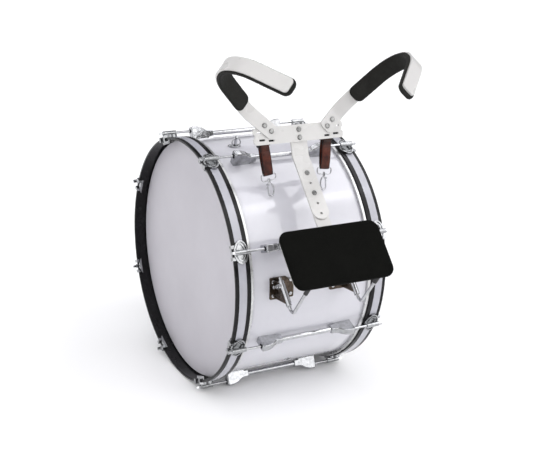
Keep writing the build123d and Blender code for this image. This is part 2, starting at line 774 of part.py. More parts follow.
for height in chest_bolt_heights:
    carrier_fastener(chest_plane.location * Pos(0, height, 0), 2 * bar_thickness + 0.1)
for hole in (spine_holes[0], spine_holes[2]):
    carrier_fastener(spine_plane.location * Pos(0, -hole, spine_face), 2 * bar_thickness)
for x, y in arm_bolts:
    before = len(carrier_screws)
    carrier_fastener(chest_back.location * Pos(x, y, 2 * bar_thickness), 2 * bar_thickness)
    carrier_screws.append(mirrored(carrier_screws[before]))
    carrier_nuts.append(mirrored(carrier_nuts[before]))
for x, down in belly_screws:
    place = spine_plane.location * Pos(x, -down, lower_face + plate_thickness)
    carrier_screws.append(place * screw(fastener_radius - 0.05, 13, *small_head))
    carrier_nuts.append(place * Pos(0, 0, -plate_thickness - bar_thickness) * outer_nut)
for x in (sleeve_x, -sleeve_x):
    place = spine_plane.location * Pos(x, -carrier_rod_foot, lower_face + plate_thickness)
    carrier_screws.append(place * screw(fastener_radius - 0.05, 9, *small_head))
keep("carrier_screws", *carrier_screws)
keep("carrier_nuts", *carrier_nuts)

# ---------------------------------------------------------------- straps, loops and snap hooks
pivot = Vector(*strap_pivot)
hang = (Vector(*strap_foot) - pivot).normalized()
hang_x = (Vector(1, 0, 0) - hang * hang.X).normalized()
strap_plane = Plane(origin=pivot, x_dir=hang_x, z_dir=hang * -1)
def hanger():
    """The right strap's hanger: a plate behind the crossbar hooked into a slot, ears and a pin."""
    backing = chest_back * Pos(101, -8, -hanger_thickness / 2 - 0.05) * Box(20, 24, hanger_thickness)
    yoke = chest_back * Pos(86.5, -15, -hanger_thickness / 2 - 0.05) * Box(49, 10, hanger_thickness)
    slot_x, slot_y = strap_slots[1]
    hook = chest_back * Pos(slot_x, slot_y, 2.7) * Box(slot_size[0] - 1.5, 2.6, 6.8)
    shape = backing + yoke + hook + strap_plane * along_x(pin_radius, -17, 17)
    for offset in (-ear_offset, ear_offset):
        eye = strap_plane.from_local_coords(Vector(offset, 0, 0))
        across = chest_back.to_local_coords(eye).X
        root = chest_back.from_local_coords(Vector(across, -15, -1.2))
        reach = eye - root
        ear = Plane(origin=root, x_dir=hang_x, z_dir=reach) * Pos(0, 0, reach.length / 2)
        shape += ear * Box(2.4, 6, reach.length)
        shape += strap_plane.location * Pos(offset, 0, 0) * Rot(Y=90) * Cylinder(4, 2.4)
    front = chest_back * Pos(0, 0, 20) * Box(400, 200, 40)
    return shape - (front - chest_back * Pos(slot_x, slot_y, 20) * Box(slot_size[0] - 1.5, 2.6, 50))


keep("strap_hangers", *both_sides(hanger()))

fold_top = pin_radius + 0.35
fold_bottom = wire + 0.35


def strap_outline(grow, bulge):
    """Side view of the strap's loop: two folds joined by slightly bowed sides."""
    top, bottom = fold_top + grow, fold_bottom + grow
    over = ThreePointArc((-top, 0), (0, top), (top, 0))
    front = ThreePointArc((top, 0), (bulge, -strap_length / 2), (bottom, -strap_length))
    under = ThreePointArc((bottom, -strap_length), (0, -strap_length - bottom), (-bottom, -strap_length))
    back = ThreePointArc((-bottom, -strap_length), (-bulge, -strap_length / 2), (-top, 0))
    return make_face([over, front, under, back])


def strap():
    ring = strap_outline(leather, strap_bulge) - strap_outline(0.0, strap_bulge - leather)
    side = Plane(origin=(0, 0, 0), x_dir=(0, 1, 0), z_dir=(1, 0, 0))
    return strap_plane * extrude(side * ring, strap_width / 2, both=True)


loop_plane = Plane(origin=strap_plane.from_local_coords(Vector(0, 0, -strap_length)),
                   x_dir=hang_x, z_dir=hang * -1)


def wire_frame():
    """The oblong wire loop under the strap, with a boss that the hook's stem turns in."""
    upright = Plane(origin=(0, 0, -loop_height / 2), x_dir=(1, 0, 0), z_dir=(0, -1, 0))
    path = (upright * RectangleRounded(loop_width, loop_height, 6.5)).wires()[0]
    start = path @ 0
    section = Plane(origin=start, z_dir=path % 0) * Circle(wire)
    body = sweep(section, path=path)
    body = body + Pos(0, 0, -loop_height) * Cylinder(3.6, 2 * boss_half)
    return body - Pos(0, 0, -loop_height) * Cylinder(stem_radius + running_gap, 20)


hook_top = loop_height + boss_half + 0.3
ring_middle = -(loop_height + hook_centre)


def ellipse_point(angle, inset=0.0):
    return ((hook_half_width - inset) * cos(radians(angle)),
            0.0, ring_middle + (hook_half_height - inset) * sin(radians(angle)))


hinge_point = ellipse_point(opening_end + 6)
gate_tip = ellipse_point(opening_start)


def snap_hook():
    """The swivel hook: stem, collar and an oval body that is open on one side."""
    stem_top = -(loop_height - boss_half - 2.6)
    body = Pos(0, 0, (stem_top - hook_top - 1) / 2) * Cylinder(stem_radius, hook_top + 1 + stem_top)
    body += Pos(0, 0, stem_top - 1.1) * Cylinder(2.8, 2.0)
    body += Pos(0, 0, -hook_top - 1.6) * Cylinder(3.2, 3.2)
    front = Plane(origin=(0, 0, ring_middle), x_dir=(1, 0, 0), z_dir=(0, -1, 0))
    arc = EllipticalCenterArc((0, 0), hook_half_width, hook_half_height, opening_end,
                              arc_size=360 + opening_start - opening_end)
    path = front * arc
    section = Plane(origin=path @ 0, z_dir=path % 0) * Circle(hook_wire)
    body += sweep(section, path=path)
    for side in (-1, 1):
        cheek = Pos(hinge_point[0], side * 2.3, hinge_point[2]) * Rot(X=90) * Cylinder(2.6, 1.2)
        body += cheek
    cut = Pos(hinge_point[0], 0, hinge_point[2]) * Rot(X=90) * Cylinder(3.1, 3.3)
    keep_clear = box_between((hinge_point[0] - 1.5, hinge_point[0] + 8), (-1.65, 1.65),
                             (gate_tip[2], hinge_point[2] + 1))
    body = body - cut - keep_clear
    pin = Pos(hinge_point[0], 0, hinge_point[2]) * Rot(X=90) * Cylinder(0.9, 5.4)
    return body + pin


def snap_gate():
    """The sprung gate: a knuckle on the hook's pin, a straight bar and a thumb stud."""
    hinge = Vector(*hinge_point)
    tip = Vector(gate_tip[0], 0, gate_tip[2] + 0.9)
    span = tip - hinge
    knuckle = Pos(*hinge_point) * Rot(X=90) * Cylinder(2.5, 3.0)
    bar = Plane(origin=hinge, x_dir=(0, 1, 0), z_dir=span) * Pos(0, 0, span.length / 2)
    body = knuckle + bar * Box(2.8, 2.6, span.length)
    stud_place = hinge + span * 0.3
    body += Pos(stud_place.X + 2.4, 0, stud_place.Z) * Rot(Y=90) * Cylinder(1.3, 3.4)
    return body - Pos(*hinge_point) * Rot(X=90) * Cylinder(0.9 + running_gap, 8)


for name, move in (("right", lambda shape: shape), ("left", mirrored)):
    keep(f"{name}_strap", move(strap()))
    keep(f"{name}_strap_loop", move(loop_plane * wire_frame()))
    keep(f"{name}_snap_hook", move(loop_plane * snap_hook()))
    keep(f"{name}_snap_gate", move(loop_plane * snap_gate()))

# ---------------------------------------------------------------- origin on the floor, export
whole = Compound([solid for solids in parts.values() for solid in solids])
box = whole.bounding_box()
shift = Vector(-(box.min.X + box.max.X) / 2, -(box.min.Y + box.max.Y) / 2, -box.min.Z)

os.makedirs("parts", exist_ok=True)
for name, solids in parts.items():
    node = Compound(children=[Pos(*shift) * solid for solid in solids])
    node.label = name
    export_step(node, f"parts/{name}.step")
print("nodes", len(parts), "shift", [round(value, 3) for value in shift])
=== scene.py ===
import json
import math

import bmesh
import bpy
import numpy as np
from mathutils import Matrix, Vector, noise


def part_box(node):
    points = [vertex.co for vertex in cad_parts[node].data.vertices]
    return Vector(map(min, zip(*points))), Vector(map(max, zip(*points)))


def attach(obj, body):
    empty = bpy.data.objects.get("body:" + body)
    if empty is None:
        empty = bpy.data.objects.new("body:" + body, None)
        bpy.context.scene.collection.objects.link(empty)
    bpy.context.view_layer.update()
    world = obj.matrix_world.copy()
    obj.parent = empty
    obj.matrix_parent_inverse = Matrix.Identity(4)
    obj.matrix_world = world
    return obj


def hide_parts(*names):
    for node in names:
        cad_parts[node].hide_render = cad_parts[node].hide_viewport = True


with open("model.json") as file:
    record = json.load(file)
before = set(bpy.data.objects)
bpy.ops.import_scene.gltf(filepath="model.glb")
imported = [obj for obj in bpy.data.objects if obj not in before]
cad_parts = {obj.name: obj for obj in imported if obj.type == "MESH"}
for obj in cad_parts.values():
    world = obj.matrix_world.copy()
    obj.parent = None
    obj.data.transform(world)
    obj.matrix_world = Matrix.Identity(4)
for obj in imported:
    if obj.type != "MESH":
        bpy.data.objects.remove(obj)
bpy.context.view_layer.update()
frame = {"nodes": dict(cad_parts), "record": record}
NODES = frame["nodes"]
JOINTS = {joint["name"]: joint for joint in frame["record"]["behaviour"]["joints"]}
MOUNTS = {mount["name"]: mount for mount in frame["record"]["mounts"]}
MM = 0.001
SIDES = ("left", "right")


# ------------------------------------------------------------------ materials
def colour_sockets(sockets):
    """A Mix node's colour sockets: the factor and the other kinds share the same list."""
    return [socket for socket in sockets if socket.type == "RGBA"]


class Shader:
    """A node material that varies over the surface in object space (metres)."""

    def __init__(self, name):
        self.material = bpy.data.materials.new(name)
        self.material.use_nodes = True
        self.tree = self.material.node_tree
        self.bsdf = self.tree.nodes["Principled BSDF"]
        self.coords = self.node("ShaderNodeTexCoord").outputs["Object"]
        self.normal = None

    def node(self, kind, **values):
        made = self.tree.nodes.new(kind)
        for key, value in values.items():
            setattr(made, key, value)
        return made

    def link(self, out, socket):
        self.tree.links.new(out, socket)

    def stretched(self, scale):
        """Coordinates scaled by axis: a pattern is finer along an axis with a larger factor."""
        mapping = self.node("ShaderNodeMapping")
        self.link(self.coords, mapping.inputs["Vector"])
        mapping.inputs["Scale"].default_value = scale
        return mapping.outputs["Vector"]

    def noise(self, scale, detail=4.0, rough=0.55, vector=None, distortion=0.0):
        made = self.node("ShaderNodeTexNoise")
        self.link(vector or self.coords, made.inputs["Vector"])
        made.inputs["Scale"].default_value = scale
        made.inputs["Detail"].default_value = detail
        made.inputs["Roughness"].default_value = rough
        made.inputs["Distortion"].default_value = distortion
        return made.outputs["Fac"]

    def cells(self, scale, feature="F1"):
        made = self.node("ShaderNodeTexVoronoi", feature=feature)
        self.link(self.coords, made.inputs["Vector"])
        made.inputs["Scale"].default_value = scale
        return made.outputs["Distance"]

    def span(self, value, low, high, from_low=0.3, from_high=0.7):
        """Stretches from_low..from_high, where most of a noise lies, to low..high."""
        made = self.node("ShaderNodeMapRange")
        self.link(value, made.inputs["Value"])
        made.inputs["From Min"].default_value = from_low
        made.inputs["From Max"].default_value = from_high
        made.inputs["To Min"].default_value = low
        made.inputs["To Max"].default_value = high
        return made.outputs["Result"]

    def math(self, operation, a, b):
        made = self.node("ShaderNodeMath", operation=operation)
        for index, value in enumerate((a, b)):
            if isinstance(value, (int, float)):
                made.inputs[index].default_value = value
            else:
                self.link(value, made.inputs[index])
        return made.outputs["Value"]

    def mix(self, factor, a, b):
        made = self.node("ShaderNodeMix", data_type="RGBA")
        self.link(factor, made.inputs["Factor"])
        for socket, value in zip(colour_sockets(made.inputs), (a, b)):
            if isinstance(value, tuple):
                socket.default_value = (*value, 1.0)
            else:
                self.link(value, socket)
        return colour_sockets(made.outputs)[0]

    def colour(self, value):
        self.link(value, self.bsdf.inputs["Base Color"])

    def rough(self, value):
        self.link(value, self.bsdf.inputs["Roughness"])

    def bump(self, value, distance, strength=1.0):
        """Adds one layer of relief on top of the layers set before; distance in metres."""
        made = self.node("ShaderNodeBump")
        self.link(value, made.inputs["Height"])
        made.inputs["Distance"].default_value = distance
        made.inputs["Strength"].default_value = strength
        if self.normal is not None:
            self.link(self.normal, made.inputs["Normal"])
        self.normal = made.outputs["Normal"]
        self.link(self.normal, self.bsdf.inputs["Normal"])

    def set(self, **values):
        for key, value in values.items():
            self.bsdf.inputs[key.replace("_", " ")].default_value = value


def painted(name, light, dark, roughness=(0.25, 0.31), coat=0.25, shine=0.5):
    """Gloss powder coat: orange peel, faint handling marks, slightly duller patches."""
    s = Shader(name)
    cloud = s.noise(9.0, 3.0)
    base = s.mix(s.span(cloud, 0.0, 1.0), light, dark)
    grime = s.math("MULTIPLY", s.span(s.noise(38.0, 6.0, 0.7), 0.0, 1.0, 0.56, 0.72), 0.12)
    s.colour(s.mix(grime, base, tuple(0.9 * c for c in dark)))
    s.rough(s.span(cloud, *roughness))
    s.bump(s.noise(260.0, 2.0), 0.00012, 0.5)
    s.bump(s.noise(420.0, 2.0), 0.00003, 0.5)
    s.set(Coat_Weight=coat, Coat_Roughness=0.12, Specular_IOR_Level=shine)
    return s.material


def covering():
    """White gloss drum wrap: even, slightly pearly, with long soft streaks and fine peel."""
    s = Shader("gloss white wrap")
    streak = s.noise(3.0, 2.0, 0.5, s.stretched((1.0, 4.0, 4.0)))
    pearl = s.noise(90.0, 3.0, 0.6)
    base = s.mix(s.span(streak, 0.0, 1.0), (0.605, 0.60, 0.65), (0.655, 0.65, 0.695))
    s.colour(s.mix(s.math("MULTIPLY", s.span(pearl, 0.0, 1.0), 0.25), base, (0.68, 0.68, 0.72)))
    s.rough(s.span(s.noise(14.0, 4.0), 0.10, 0.17))
    s.bump(s.noise(22.0, 2.0), 0.0004, 0.22)
    s.set(Coat_Weight=0.8, Coat_Roughness=0.05, Specular_IOR_Level=0.55)
    return s.material


def head_film():
    """Coated drumhead: matt, fine sprayed grain, faint beater marks."""
    s = Shader("coated drumhead")
    cloud = s.noise(5.0, 4.0, 0.6)
    grain = s.noise(900.0, 2.0)
    base = s.mix(s.span(cloud, 0.0, 1.0), (0.485, 0.47, 0.505), (0.53, 0.515, 0.55))
    marks = s.math("MULTIPLY", s.span(s.noise(16.0, 6.0, 0.75), 0.0, 1.0, 0.6, 0.8), 0.10)
    s.colour(s.mix(marks, base, (0.44, 0.425, 0.455)))
    s.rough(s.span(grain, 0.42, 0.58))
    s.bump(grain, 0.00006, 0.5)
    s.bump(s.noise(2.2, 1.0), 0.003, 0.12)
    s.set(Specular_IOR_Level=0.35, Coat_Weight=0.08, Coat_Roughness=0.35)
    return s.material


def lacquer():
    """Black lacquer on a bent wooden hoop: grain shows faintly through the gloss."""
    s = Shader("black hoop lacquer")
    grain = s.noise(60.0, 4.0, 0.6, s.stretched((12.0, 1.0, 1.0)))
    s.colour(s.mix(s.span(grain, 0.0, 1.0), (0.0035, 0.0035, 0.004), (0.011, 0.0105, 0.0115)))
    s.rough(s.span(s.noise(45.0, 5.0), 0.14, 0.30))
    s.bump(grain, 0.00025, 0.35)
    s.set(Coat_Weight=0.12, Coat_Roughness=0.08, Specular_IOR_Level=0.14)
    return s.material


def plastic(name, light, dark, roughness):
    """Glossy plastic strip: nearly even colour, with polish that varies a little."""
    s = Shader(name)
    cloud = s.noise(26.0, 4.0)
    s.colour(s.mix(s.span(cloud, 0.0, 1.0), light, dark))
    s.rough(s.span(s.noise(70.0, 4.0), *roughness))
    s.bump(s.noise(500.0, 2.0), 0.00003, 0.5)
    s.set(Coat_Weight=0.3, Coat_Roughness=0.08)
    return s.material


def metal(name, light, dark, roughness, cast=0.0, brushed=None, scratches=0.3):
    """Plated or bare metal: smudged roughness, cast waviness or brushing, fine scratches."""
    s = Shader(name)
    smudge = s.noise(48.0, 5.0, 0.65)
    base = s.mix(s.span(s.noise(120.0, 4.0), 0.0, 1.0), light, dark)
    # Random darker spots: worn metal, and also painted dark reflection that stands for a shaded floor in
    # the mirror.
    wear_and_painted_reflection = s.math("MULTIPLY", s.span(s.noise(310.0, 6.0, 0.75), 0.0, 1.0, 0.58, 0.74), 0.45)
    s.colour(s.mix(wear_and_painted_reflection, base, tuple(0.6 * c for c in dark)))
    s.rough(s.span(smudge, *roughness))
    if cast:
        s.bump(s.noise(130.0, 2.0), 0.0004, cast)
    if brushed:
        s.bump(s.noise(500.0, 3.0, 0.6, s.stretched(brushed)), 0.00005, 0.55)
    fine = s.noise(900.0, 3.0, 0.6, s.stretched((0.08, 1.0, 1.0)))
    s.bump(fine, 0.00002, scratches)
    s.set(Metallic=1.0)
    return s.material


def foam(name, light, dark, dust_colour, shine):
    """Closed-cell foam: fine pores, random lighter dust specks, soft broad unevenness."""
    s = Shader(name)
    pores = s.cells(950.0)
    cloud = s.noise(30.0, 5.0, 0.65)
    base = s.mix(s.span(cloud, 0.0, 1.0), dark, light)
    dust = s.math("MULTIPLY", s.span(s.noise(520.0, 4.0, 0.7), 0.0, 1.0, 0.5, 0.66), 0.5)
    s.colour(s.mix(dust, base, dust_colour))
    s.rough(s.span(cloud, 0.62, 0.85))
    s.bump(pores, 0.00035, 0.6)
    s.bump(s.noise(150.0, 4.0, 0.6), 0.0006, 0.3)
    s.set(Specular_IOR_Level=shine, Sheen_Weight=0.02, Sheen_Roughness=0.5)
    return s.material


def rubber():
    """Black moulded rubber: matt, with a fine grain."""
    s = Shader("rod bush rubber")
    s.colour(s.mix(s.span(s.noise(90.0), 0.0, 1.0), (0.010, 0.010, 0.010), (0.022, 0.022, 0.021)))
    s.rough(s.span(s.noise(200.0), 0.45, 0.65))
    s.bump(s.noise(800.0, 2.0), 0.00004, 0.5)
    return s.material


def leather(name, light, dark, roughness):
    """Smooth leather: pebbled grain, darker creases, waxy uneven shine."""
    s = Shader(name)
    pebble = s.cells(620.0, "SMOOTH_F1")
    crease = s.noise(85.0, 7.0, 0.7, s.stretched((1.0, 1.6, 0.7)), 0.6)
    base = s.mix(s.span(s.noise(45.0, 5.0, 0.6), 0.0, 1.0, 0.4, 0.62), dark, light)
    s.colour(s.mix(s.span(crease, 0.0, 0.6, 0.52, 0.75), base, tuple(0.35 * c for c in dark)))
    s.rough(s.span(crease, *roughness))
    s.bump(pebble, 0.00022, 0.45)
    s.bump(crease, 0.0005, 0.35)
    s.set(Coat_Weight=0.11, Coat_Roughness=0.16, Specular_IOR_Level=0.22)
    return s.material


def thread():
    """Waxed sewing thread with a fine twist."""
    s = Shader("waxed thread")
    twist = s.noise(2600.0, 2.0, 0.5, s.stretched((1.0, 1.0, 2.0)))
    s.colour(s.mix(s.span(twist, 0.0, 1.0), (0.03, 0.018, 0.012), (0.075, 0.045, 0.03)))
    s.rough(s.span(twist, 0.5, 0.7))
    s.bump(twist, 0.0001, 0.6)
    return s.material


def wood():
    """Bare maple inside the shell, with grain round the drum."""
    s = Shader("maple plies")
    grain = s.noise(30.0, 6.0, 0.6, s.stretched((14.0, 1.0, 1.0)), 0.4)
    s.colour(s.mix(s.span(grain, 0.0, 1.0), (0.50, 0.33, 0.18), (0.66, 0.48, 0.30)))
    s.rough(s.span(grain, 0.45, 0.62))
    s.bump(grain, 0.0002, 0.4)
    return s.material


# Most of these take a light and a dark colour and the range of the roughness.
# The chrome, cast chrome, claw chrome and zinc colours are kept dark as painted dark reflection of a
# shaded studio; the claws and the zinc are darkest.
CHROME = metal("chrome", (0.56, 0.565, 0.58), (0.42, 0.425, 0.435), (0.05, 0.13))
CAST_CHROME = metal("cast chrome", (0.50, 0.505, 0.52), (0.33, 0.335, 0.345), (0.07, 0.16),
                    cast=0.45)
CLAW_CHROME = metal("claw chrome", (0.44, 0.445, 0.455), (0.26, 0.265, 0.27), (0.08, 0.20),
                    cast=0.5)
ZINC = metal("zinc plate", (0.29, 0.29, 0.285), (0.14, 0.14, 0.137), (0.18, 0.32),
             cast=0.5, scratches=0.6)
ALUMINIUM = metal("spun aluminium", (0.66, 0.66, 0.66), (0.52, 0.52, 0.52), (0.24, 0.34),
                  brushed=(0.4, 1.0, 1.0))
DARK_NICKEL = metal("dark nickel casting", (0.11, 0.085, 0.066), (0.045, 0.035, 0.027), (0.2, 0.38),
                    cast=0.8)
PAINT = painted("carrier powder coat", (0.615, 0.603, 0.588), (0.575, 0.565, 0.552))
BLACK_PAINT = painted("black hanger paint", (0.012, 0.012, 0.013), (0.006, 0.006, 0.006), (0.3, 0.45),
                      coat=0.05, shine=0.2)
WHITE_INLAY = plastic("hoop inlay", (0.46, 0.46, 0.505), (0.41, 0.41, 0.455), (0.12, 0.22))
BELLY_FOAM = foam("black foam skin", (0.0048, 0.0050, 0.0042), (0.0022, 0.0023, 0.0019),
                  (0.010, 0.0102, 0.009), 0.03)
# A lighter copy of the black foam for the arm pads, which face up: painted light on their lit tops.
LIT_ARM_FOAM = foam("black foam skin on the arms painted lighter as lit", (0.020, 0.0198, 0.0182), (0.010, 0.0098, 0.0088),
                (0.040, 0.039, 0.036), 0.10)
RUBBER = rubber()
LEATHER = leather("red-brown leather", (0.092, 0.019, 0.009), (0.026, 0.005, 0.003), (0.26, 0.42))
LEATHER_EDGE = leather("black burnished edge", (0.006, 0.005, 0.005), (0.003, 0.0025, 0.0025),
                       (0.3, 0.5))
THREAD = thread()
WOOD = wood()
WRAP = covering()
HEAD_FILM = head_film()
LACQUER = lacquer()
TENSION_RODS = 8                # on each side

finishes = {
    "shell": WOOD, "shell_covering": WRAP, "vent_grommet": CHROME,
    "hoop_inlays": WHITE_INLAY, "lug_posts": CAST_CHROME, "lug_tubes": CHROME, "lug_nuts": ZINC,
    "shell_fasteners": CHROME, "ring_plates": CHROME, "rod_brackets": DARK_NICKEL,
    "rod_sleeves": CHROME, "clamp_screws": CHROME, "crossbar": PAINT, "upper_spine": PAINT,
    "lower_spine": PAINT, "belly_plate": PAINT, "carrier_screws": ZINC, "carrier_nuts": ZINC,
    "carrier_rods": CHROME, "rod_bushes": RUBBER, "strap_hangers": BLACK_PAINT,
}
for side in SIDES:
    finishes[f"{side}_head"] = HEAD_FILM
    finishes[f"{side}_flesh_hoop"] = ALUMINIUM
    finishes[f"{side}_counterhoop"] = LACQUER
    finishes[f"{side}_claws"] = CLAW_CHROME
    finishes[f"{side}_ring"] = CHROME
    finishes[f"{side}_arm"] = PAINT
    for piece in ("strap_loop", "snap_hook", "snap_gate"):
        finishes[f"{side}_{piece}"] = CHROME
    for number in range(1, TENSION_RODS + 1):
        finishes[f"{side}_tension_rod_{number}"] = CHROME
for node, material in finishes.items():
    for material_slot in NODES[node].material_slots:
        material_slot.material = material


# ------------------------------------------------------------------ helpers for soft pieces
def new_piece(name, mesh, body, slot, *materials):
    """A new visible piece that rides on a body."""
    piece = bpy.data.objects.new(name, mesh)
    bpy.context.collection.objects.link(piece)
    for material in materials:
        mesh.materials.append(material)
    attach(piece, body)
    return piece


def applied(piece):
    """Replaces a piece's mesh by its mesh with every modifier applied."""
    graph = bpy.context.evaluated_depsgraph_get()
    mesh = bpy.data.meshes.new_from_object(piece.evaluated_get(graph))
    piece.modifiers.clear()
    piece.data = mesh
    return mesh


def body_of(node):
    bodies = frame["record"]["behaviour"]["bodies"]
    return [name for name, nodes in bodies.items() if node in nodes][0]


FOAM_PROUD = 0.35 * MM          # how far a pad's skin is moved outwards
BROAD_WAVES = 26.0              # waves of the skin per metre, and their part of FOAM_PROUD
BROAD_SHARE = 0.5
FINE_WAVES = 70.0
FINE_SHARE = 0.22
FINE_OFFSET = Vector((3, 1, 7))     # keeps the fine waves apart from the broad ones
GLUED = 0.5                     # skin that faces the metal by more than this is the glued side
FLAT_SHARE = 0.9                # the glued side's even part of FOAM_PROUD


def foam_pad(name, node, skin, voxel, rounds, glued_side=None):
    """A foam pad from its plain solid: remeshed, with soft edges and a slightly uneven skin."""
    mesh = NODES[node].data.copy()
    mesh.materials.clear()
    piece = new_piece(name, mesh, body_of(node), "black_foam", skin)
    remesh = piece.modifiers.new("voxels", "REMESH")
    remesh.mode = "VOXEL"
    remesh.voxel_size = voxel
    remesh.use_smooth_shade = True
    smooth = piece.modifiers.new("rounding", "SMOOTH")
    smooth.factor = 0.5
    smooth.iterations = rounds
    mesh = applied(piece)
    bm = bmesh.new()
    bm.from_mesh(mesh)
    bm.normal_update()
    for vert in bm.verts:
        broad = noise.noise(vert.co * BROAD_WAVES) * BROAD_SHARE
        fine = noise.noise(vert.co * FINE_WAVES + FINE_OFFSET) * FINE_SHARE
        facing = 0.0 if glued_side is None else vert.normal.dot(glued_side)
        share = 1.0 + broad + fine if facing < GLUED else FLAT_SHARE
        vert.co = vert.co + vert.normal * (FOAM_PROUD * share)
    bm.to_mesh(mesh)
    bm.free()
    for polygon in mesh.polygons:
        polygon.use_smooth = True
    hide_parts(node)


plate_normal = Vector(MOUNTS["belly_pad_face"]["axis"])
foam_pad("belly_foam", "belly_pad", BELLY_FOAM, voxel=2.4 * MM, rounds=6, glued_side=-plate_normal)
for side in SIDES:
    foam_pad(f"{side}_arm_foam", f"{side}_arm_pad", LIT_ARM_FOAM, voxel=1.6 * MM, rounds=7)


# ------------------------------------------------------------------ leather straps
# Lengths are in millimetres.
STRAP_WIDTH = 25.0
LEATHER_THICK = 2.5
TOP_FOLD = 2.35                 # inside radius of the fold over the pin
BOTTOM_FOLD = 1.85              # inside radius of the fold under the wire
STRAP_BULGE = 7.0               # the outside's distance from the centre plane, half way down
CROWN = 0.35                    # the outside stands this much higher along its middle
RIPPLE = 0.35
RIPPLE_WAVES = 120.0            # per metre
STEADY = 2                      # points at the start of each run that don't ripple
FLAP_LENGTH = 17.0              # the sewn-down end, measured below the pin
FLAP_THICK = 1.6
FLAP_CROWN = 0.2
FLAP_LIFT = 0.9                 # from the strap's surface to the flap's middle line
FLAP_INSET = 0.6                # how far each edge of the flap lies inside the strap's edge
FOLD_STEPS = 12                 # points round each fold
RUN_STEPS = 24                  # points down each run
FLAP_EARLY = 4                  # the flap starts this many points before the front run
FACE_STEPS = 6                  # steps across the leather, on each face
CORNER_IN, CORNER_DOWN = 0.5, 0.7   # size of the bevel along the leather's edges
FLAP_ROWS = (-2, 5)             # points of the flap that carry a row of stitches
STITCHES_ACROSS = 8
STITCH_PITCH = 2.6
STITCH_RADII = (0.32, 0.3)      # across and out of the leather
FLAP_STITCH = 0.95              # half the length of a stitch across the flap
FLAP_STITCH_LIFT = 1.05         # from the flap's middle line up to its stitches
SEAM_STITCH = 0.62              # half the length of a stitch along the edges
SEAM_OFFSET = 10.1              # the edge seams' distance from the strap's middle
SEAM_LIFT = 1.32                # from the strap's middle line up to the stitches on it
SEAM_LIFT_ON_FLAP = 2.75
SEAM_START = 3                  # the edge seams start this many points down the front run
LEATHER_SLOT, EDGE_SLOT = 0, 1


def strap_centre_line(length):
    """The strap's middle line from the side: over the pin, down, under the wire, up again."""
    top = TOP_FOLD + LEATHER_THICK / 2
    bottom = BOTTOM_FOLD + LEATHER_THICK / 2
    bulge = STRAP_BULGE - LEATHER_THICK / 2 - (top + bottom) / 2

    def run(side, shares):
        return [(side * (top * (1 - t) + bottom * t + bulge * math.sin(math.pi * t)), -length * t)
                for t in shares]

    angles = [math.pi * step / FOLD_STEPS for step in range(FOLD_STEPS)]
    shares = [step / RUN_STEPS for step in range(RUN_STEPS)]
    over_pin = [(-top * math.cos(a), top * math.sin(a)) for a in angles]
    under_wire = [(bottom * math.cos(a), -length - bottom * math.sin(a)) for a in angles]
    return over_pin + run(1, shares) + under_wire + run(-1, [1 - share for share in shares])


def sweep_flat(bm, centres, normals, across, half, thick, closed, crown):
    """A flat strip with rounded edges along a line of points; one ring of vertices per point."""
    shares = [-1 + 2 * index / FACE_STEPS for index in range(FACE_STEPS + 1)]
    section = [(t * (half - CORNER_IN), thick / 2 + crown * (1 - t * t)) for t in shares]
    section += [(half, thick / 2 - CORNER_DOWN), (half, CORNER_DOWN - thick / 2)]
    section += [(-t * (half - CORNER_IN), -thick / 2) for t in shares]
    section += [(-half, CORNER_DOWN - thick / 2), (-half, thick / 2 - CORNER_DOWN)]
    rings = []
    for centre, normal in zip(centres, normals):
        rings.append([bm.verts.new(centre + across * (a * MM) + normal * (n * MM)) for a, n in section])
    count = len(section)
    pairs = list(zip(rings, rings[1:]))
    if closed:
        pairs.append((rings[-1], rings[0]))
    for first, second in pairs:
        for index in range(count):
            after = (index + 1) % count
            face = bm.faces.new((first[index], first[after], second[after], second[index]))
            edge = FACE_STEPS <= index <= FACE_STEPS + 2 or index >= count - 3
            face.material_index = EDGE_SLOT if edge else LEATHER_SLOT
            face.smooth = True
    if not closed:
        for ring in (rings[0][::-1], rings[-1]):
            bm.faces.new(ring).material_index = EDGE_SLOT


def stitch(bm, place, along, outwards, half_length):
    """One stitch: a small flattened ellipsoid that lies on the leather."""
    basis = Matrix((along, outwards.cross(along), outwards)).transposed().to_4x4()
    basis.translation = place
    radii = Matrix.Diagonal((half_length * MM, STITCH_RADII[0] * MM, STITCH_RADII[1] * MM, 1))
    made = bmesh.ops.create_uvsphere(bm, u_segments=8, v_segments=6, radius=1.0, matrix=basis @ radii)
    for vert in made["verts"]:
        for face in vert.link_faces:
            face.smooth = True


